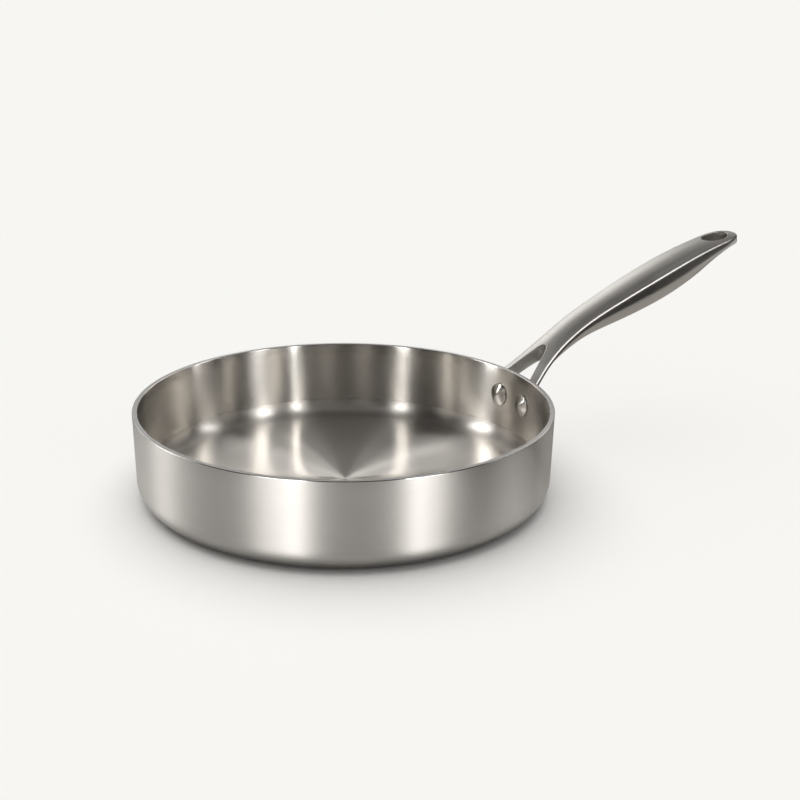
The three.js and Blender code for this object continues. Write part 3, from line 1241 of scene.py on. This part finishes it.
    def close_nose(self, ring: Sequence[Vector]) -> None:
        """Closes the tip with two rows of faces between its top and its underside.

        Args:
            ring: the last ring of the cage.
        """
        count = len(ring)
        upper = [ring[index % count] for index in range(-Column.SHOULDER, Column.SHOULDER + 1)]
        under = [ring[index] for index in range(count - Column.CREASE, Column.CREASE - 1, -1)]
        middle = [(high + low) / 2 for high, low in zip(upper, under)]
        middle[0] = ring[count - Column.FLANK]
        middle[-1] = ring[Column.FLANK]
        pick_chains([upper])
        extrude_to(upper, middle)
        bpy.ops.mesh.select_all(action="SELECT")
        bpy.ops.mesh.remove_doubles(threshold=MERGE)
        pick_chains([middle, under])
        bpy.ops.mesh.bridge_edge_loops()
        self.round_edges([upper])

    def round_edges(self, chains: Sequence[Sequence[Vector]]) -> None:
        """Rounds the edges that join neighbouring places of the given chains."""
        pick_chains(chains)
        bpy.ops.mesh.bevel(offset=self.edge_round, segments=self.edge_segments, affect="EDGES")

    def edge_line(self, rings: Sequence[Sequence[Vector]], inner: Column, middle: Column) -> list[Vector]:
        """Edge of an opening, along its left side, round its far end and back along its right side.

        Args:
            rings: rings of the cage along the opening.
            inner: the edge's column.
            middle: the column that it crosses at the far end.

        Returns:
            Places of the edge.
        """
        left = [ring[inner] for ring in rings]
        right = [ring[-inner] for ring in reversed(rings)]
        return [*left, rings[-1][middle], *right]

    def open_window(self, rings: Sequence[Sequence[Vector]]) -> None:
        """Opens the fork's window and gives it walls and rounded edges.

        Args:
            rings: the fork's rings, from the wall to the window's apex.
        """
        pick_points([ring[column] for ring in rings[:-1] for column in (Column.MIDDLE, Column.KEEL)])
        bpy.ops.mesh.delete(type="VERT")
        chains = [self.edge_line(rings, inner, middle) for inner, middle in OPENING_EDGES]
        pick_chains(chains)
        bpy.ops.mesh.bridge_edge_loops()
        for side in (1, -1):
            foot = [rings[0][side * column] for column in range(Column.INNER, Column.KEEL)]
            pick_chains([[*foot, foot[0]]])
            bpy.ops.mesh.edge_face_add()
            bpy.ops.transform.edge_crease(value=1.0)
        self.round_edges(chains)

    def open_hole(self, rings: Sequence[Sequence[Vector]]) -> None:
        """Opens the hang hole and gives it a wall and rounded edges.

        Args:
            rings: the three rings round the hole.
        """
        pick_points([rings[1][Column.MIDDLE], rings[1][Column.KEEL]])
        bpy.ops.mesh.delete(type="VERT")
        chains = []
        for inner, middle in OPENING_EDGES:
            start = rings[0][middle]
            chains.append([start, *self.edge_line(rings, inner, middle), start])
        pick_chains(chains)
        bpy.ops.mesh.bridge_edge_loops()
        self.round_edges(chains)


# The studio


@dataclass(frozen=True)
class Viewpoint:
    """The photograph's camera, matched to the rim, the base and the wall."""

    bearing: float = math.radians(-26.876)  # 0 looks along +Y
    elevation: float = math.radians(22.928)
    distance: float = 745.7 * MM  # from the origin
    turn: float = math.radians(2.708)  # aim to the right of the origin
    tilt: float = math.radians(4.061)  # aim above the origin
    roll: float = math.radians(-0.23)
    focal_length: float = 52.29  # millimetres, on a 36 mm sensor

    def build(self) -> None:
        """Adds the camera and makes it the scene's."""
        place = direction(self.bearing, self.elevation) * self.distance
        aim = Matrix.Rotation(self.bearing, 4, "Z") @ Matrix.Rotation(math.pi / 2 - self.elevation, 4, "X")
        aim = aim @ Matrix.Rotation(-self.turn, 4, "Y") @ Matrix.Rotation(self.tilt, 4, "X")
        aim = aim @ Matrix.Rotation(self.roll, 4, "Z")
        bpy.ops.object.camera_add()
        camera = bpy.context.object
        camera.name = "photo_camera"
        camera.matrix_world = Matrix.Translation(place) @ aim
        camera.data.lens = self.focal_length
        bpy.context.scene.camera = camera


def direction(bearing: float, elevation: float) -> Vector:
    """Direction from the pan to something that stands round it.

    Args:
        bearing: 0 is towards -Y, and it grows towards +X.
        elevation: above level.

    Returns:
        A direction of length 1.
    """
    level = math.cos(elevation)
    return Vector((math.sin(bearing) * level, -math.cos(bearing) * level, math.sin(elevation)))


class Metal(Enum):
    """Pieces that a softbox shows in."""

    OUTSIDE = ("outer_shell_skin", "heat_core_body")
    HANDLE = ("handle_casting",)
    INSIDE = ("cooking_liner_skin", "rivet_left_turned", "rivet_right_turned")


def add_lamp(name: str, kind: str, towards: Vector, distance: float) -> bpy.types.Object:
    """Adds a lamp that faces the pan.

    Args:
        name: the lamp's name.
        kind: its type.
        towards: direction from the pan to the lamp.
        distance: from the origin.

    Returns:
        The lamp.
    """
    bpy.ops.object.light_add(type=kind, location=towards * distance)
    lamp = bpy.context.object
    lamp.name = name
    lamp.rotation_euler = towards.to_track_quat("Z", "Y").to_euler()
    return lamp


@dataclass(frozen=True)
class Softbox:
    """A lamp whose white front shows as a bright shape in some of the metal, and lights nothing else."""

    name: str
    bearing: float  # degrees from the camera's side, to the right
    elevation: float  # degrees
    width: float
    height: float
    brightness: float  # of its front, where 1 is white
    metal: Metal  # where it shows
    distance: float = 3.0

    def build(self, camera: Viewpoint) -> None:
        """Adds the lamp.

        Args:
            camera: the viewpoint that the bearing is counted from.
        """
        towards = direction(camera.bearing + math.radians(self.bearing), math.radians(self.elevation))
        lamp = add_lamp(self.name, "AREA", towards, self.distance)
        lamp.data.shape = "RECTANGLE"
        lamp.data.size = self.width
        lamp.data.size_y = self.height
        lamp.data.energy = self.brightness * math.pi * self.width * self.height
        lamp.visible_camera = False
        lamp.visible_diffuse = False
        lamp.light_linking.receiver_collection = collect(f"{self.name}_metal", self.metal.value)


def collect(name: str, pieces: Sequence[str]) -> bpy.types.Collection:
    """Gathers pieces for a lamp.

    Args:
        name: the collection's name.
        pieces: names of the pieces.

    Returns:
        The collection.
    """
    collection = bpy.data.collections.new(name)
    for piece in pieces:
        collection.objects.link(bpy.data.objects[piece])
    return collection


@dataclass(frozen=True)
class Flag:
    """A card, swept round the pan, that shows as the dark or the grey in the metal's reflections."""

    name: str
    start: float  # degrees from the camera's side, to the right
    end: float
    near: tuple[float, float]  # radius and height of its near or lower edge
    far: tuple[float, float]  # and of its far or upper edge
    tone: float = DARK_TONE
    steps: int = 32

    def build(self, camera: Viewpoint) -> None:
        """Adds the card.

        Args:
            camera: the viewpoint that the bearings are counted from.
        """
        towards = direction(camera.bearing + math.radians(self.start), 0)
        edges = [towards * radius + Vector((0, 0, height)) for radius, height in (self.near, self.far)]
        card = start_point(self.name, edges[0])
        trace(edges)
        bpy.ops.mesh.select_all(action="SELECT")
        sweep = math.radians(self.start - self.end)
        bpy.ops.mesh.spin(steps=self.steps, angle=sweep, center=(0, 0, 0), axis=(0, 0, 1))
        bpy.ops.object.mode_set(mode="OBJECT")
        hang_cloth(card, self.tone)


def hang_cloth(card: bpy.types.Object, tone: float) -> None:
    """Covers a card with warm grey cloth and lets only the metal see it.

    Args:
        card: the card.
        tone: brightness of the cloth, where 1 is white.
    """
    material, sheet = new_material(card.name)
    cloth = sheet.add("BsdfDiffuse", {"Color": [tone * part for part in CLOTH_TINT] + [1.0]})
    sheet.add("OutputMaterial", {"Surface": cloth.outputs[0]})
    card.data.materials.append(material)
    card.visible_camera = False
    card.visible_diffuse = False
    card.visible_shadow = False


@dataclass(frozen=True)
class Studio:
    """Pale floor, softboxes, dark cards and the pale surroundings."""

    camera: Viewpoint
    paper: tuple[float, float, float, float] = (0.930, 0.922, 0.899, 1.0)
    floor_radius: float = 1.2
    floor_drop: float = 0.2 * MM  # below the base, so that the two faces don't meet
    floor_sides: int = 96
    fade_start: float = 0.4  # where the floor begins to fade into the surroundings
    fade_end: float = 1.14
    ambient: float = 0.4  # share of the paper's light that comes from all round
    key_bearing: float = math.radians(-150)
    key_elevation: float = math.radians(74)
    key_softness: float = math.radians(80)
    sky: float = 0.95  # brightness of the open far side in the metal, at the horizon
    sky_top: float = 0.15  # and overhead
    surround: float = 3.2
    ceiling: float = 2.6
    ceiling_forward: float = 1.6  # its middle, towards the camera
    ceiling_sides: int = 64

    def build(self) -> None:
        """Sets up the whole studio."""
        self.camera.build()
        self.build_floor()
        self.build_world()
        self.build_key()
        for item in (*self.softboxes(), *self.flags()):
            item.build(self.camera)
        self.build_ceiling()
        bpy.context.scene.view_settings.view_transform = "Standard"

    def softboxes(self) -> list[Softbox]:
        """Softboxes that the photograph's reflections call for, outside, inside and in the handle."""
        # Name, bearing, elevation, width, height, brightness, metal and, for the overhead ones, distance
        return [
            Softbox("left_band", -36, 20, 0.94, 2.4, 4.3, Metal.OUTSIDE),
            Softbox("left_band_edge", -24, 20, 0.21, 2.4, 18.0, Metal.OUTSIDE),
            Softbox("right_band_edge", 36, 20, 0.21, 2.4, 18.0, Metal.OUTSIDE),
            Softbox("right_band", 46, 20, 0.42, 2.4, 5.5, Metal.OUTSIDE),
            Softbox("left_side", -105, 20, 0.95, 2.4, 3.0, Metal.OUTSIDE),
            Softbox("left_edge", -138, 20, 0.9, 2.4, 1.6, Metal.OUTSIDE),
            Softbox("right_side", 98, 20, 0.8, 2.4, 2.0, Metal.OUTSIDE),
            Softbox("right_edge", 140, 20, 1.0, 2.4, 1.6, Metal.OUTSIDE),
            Softbox("rim_top", 180, 25, 2.6, 0.8, 0.5, Metal.OUTSIDE),
            Softbox("left_strip", 55.5, 22, 0.36, 1.8, 18.0, Metal.INSIDE),
            Softbox("left_thin_strip", 31.5, 22, 0.15, 1.8, 17.0, Metal.INSIDE),
            Softbox("right_strip", -36.5, 22, 0.34, 1.8, 8.5, Metal.INSIDE),
            Softbox("right_panel", -98, 20, 0.5, 2.0, 10.5, Metal.INSIDE),
            Softbox("left_panel", 98, 20, 0.3, 2.0, 8.0, Metal.INSIDE),
            Softbox("back_left", -158, 38, 0.8, 1.6, 3.4, Metal.INSIDE),
            Softbox("back_right", 158, 38, 0.8, 1.6, 3.6, Metal.INSIDE),
            Softbox("inner_corner", 0, 56, 3.0, 0.8, 0.5, Metal.INSIDE, 2.4),
            Softbox("inner_fill", 180, 65, 3.0, 1.0, 0.35, Metal.INSIDE, 2.4),
            Softbox("handle_root", -132, 24, 2.0, 1.2, 1.3, Metal.HANDLE),
            Softbox("handle_top", -168, 22, 1.8, 1.6, 1.3, Metal.HANDLE),
            Softbox("handle_side", -100, 55, 1.5, 1.0, 0.6, Metal.HANDLE, 2.4),
            Softbox("handle_shoulder", 20, 62, 3.6, 1.2, 3.8, Metal.HANDLE, 2.4),
        ]

    def flags(self) -> list[Flag]:
        """Cards for the dark on the camera's side, and for the tones behind and under the handle."""
        return [
            Flag("dark_surround", -150, 150, (self.surround, 0.0), (self.surround, self.ceiling)),
            Flag("dark_card", 50, 104, (0.46, 0.0), (0.46, 0.3)),
            Flag("dark_behind", 125, 235, (0.15, 1 * MM), (1.1, 1 * MM)),
            Flag("dark_horizon", 125, 235, (1.1, 0.0), (1.1, 0.3)),
            Flag("dark_near", 50, 100, (0.22, 3 * MM), (0.46, 3 * MM)),
            Flag("grey_below", 85, 165, (0.14, 2 * MM), (0.5, 2 * MM), 0.5),
        ]

    def build_key(self) -> None:
        """Adds the lamp that lights the paper evenly and draws the bowl's shadow on it."""
        towards = direction(self.camera.bearing + self.key_bearing, self.key_elevation)
        lamp = add_lamp("key", "SUN", towards, 1.0)
        lamp.data.angle = self.key_softness
        lamp.data.energy = (1 - self.ambient) * math.pi / math.sin(self.key_elevation)
        lamp.visible_glossy = False
        bowl = ("outer_shell_skin", "heat_core_body", "cooking_liner_skin")
        lamp.light_linking.blocker_collection = collect("key_blockers", bowl)

    def build_ceiling(self) -> None:
        """Adds the dark cloth overhead."""
        bpy.ops.object.select_all(action="DESELECT")
        place = direction(self.camera.bearing, 0) * self.ceiling_forward
        place.z = self.ceiling
        bpy.ops.mesh.primitive_circle_add(
            vertices=self.ceiling_sides, radius=self.surround, fill_type="NGON", location=place
        )
        hang_cloth(name_piece("dark_ceiling"), DARK_TONE)

    def build_floor(self) -> None:
        """Adds the floor, which keeps the shadow and fades into the surroundings."""
        bpy.ops.object.select_all(action="DESELECT")
        bpy.ops.mesh.primitive_circle_add(
            vertices=self.floor_sides, radius=self.floor_radius, fill_type="NGON",
            location=(0, 0, -self.floor_drop),
        )
        floor = name_piece("paper_floor")
        material, sheet = new_material("paper_floor")
        place = sheet.add("TexCoord").outputs["Object"]
        reach = sheet.add("VectorMath", {0: place}, operation="LENGTH").outputs["Value"]
        edge = sheet.step(reach, self.fade_start, self.fade_end)
        paper = sheet.add("BsdfDiffuse", {"Color": self.paper}).outputs[0]
        away = sheet.add("BsdfTransparent").outputs[0]
        surface = sheet.add("MixShader", {0: edge, 1: paper, 2: away}).outputs[0]
        sheet.add("OutputMaterial", {"Surface": surface})
        floor.data.materials.append(material)

    def build_world(self) -> None:
        """Sets the pale surroundings that the camera and the metal see, and the light on the paper."""
        world = bpy.data.worlds.new("pale_studio")
        bpy.context.scene.world = world
        world.use_nodes = True
        world.cycles.sampling_method = "NONE"
        sheet = Sheet(world.node_tree)
        path = sheet.add("LightPath").outputs
        mirrored = sheet.math("MAXIMUM", path["Is Glossy Ray"], path["Is Transmission Ray"])
        towards = sheet.add("SeparateXYZ", {0: sheet.add("TexCoord").outputs["Generated"]}).outputs[2]
        limits = {"Value": towards, "To Min": self.sky, "To Max": self.sky_top}
        fall = sheet.add("MapRange", limits, interpolation_type="SMOOTHSTEP").outputs[0]
        sky = sheet.add("Background", {"Color": self.paper, "Strength": fall}).outputs[0]
        pale = sheet.add("Background", {"Color": self.paper, "Strength": 1.0}).outputs[0]
        light = sheet.add("Background", {"Color": (1, 1, 1, 1), "Strength": self.ambient}).outputs[0]
        surface = sheet.add("MixShader", {0: path["Is Camera Ray"], 1: light, 2: pale}).outputs[0]
        surface = sheet.add("MixShader", {0: mirrored, 1: surface, 2: sky}).outputs[0]
        sheet.add("OutputWorld", {"Surface": surface})


def main() -> None:
    """Builds the pan and its studio, in order."""
    logging.basicConfig(level=logging.INFO, format="%(message)s")
    for make in (turned_lines_group, drawn_lines_group, handling_group):
        log.info("shader group %s", make().name)
    _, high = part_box("outer_shell")
    bowl = Bowl(rim_radius=high.x, height=high.z)
    bowl.build()
    Rivets(bowl).build()
    Handle(bowl).build()
    Studio(Viewpoint()).build()


if __name__ == "__main__":
    main()
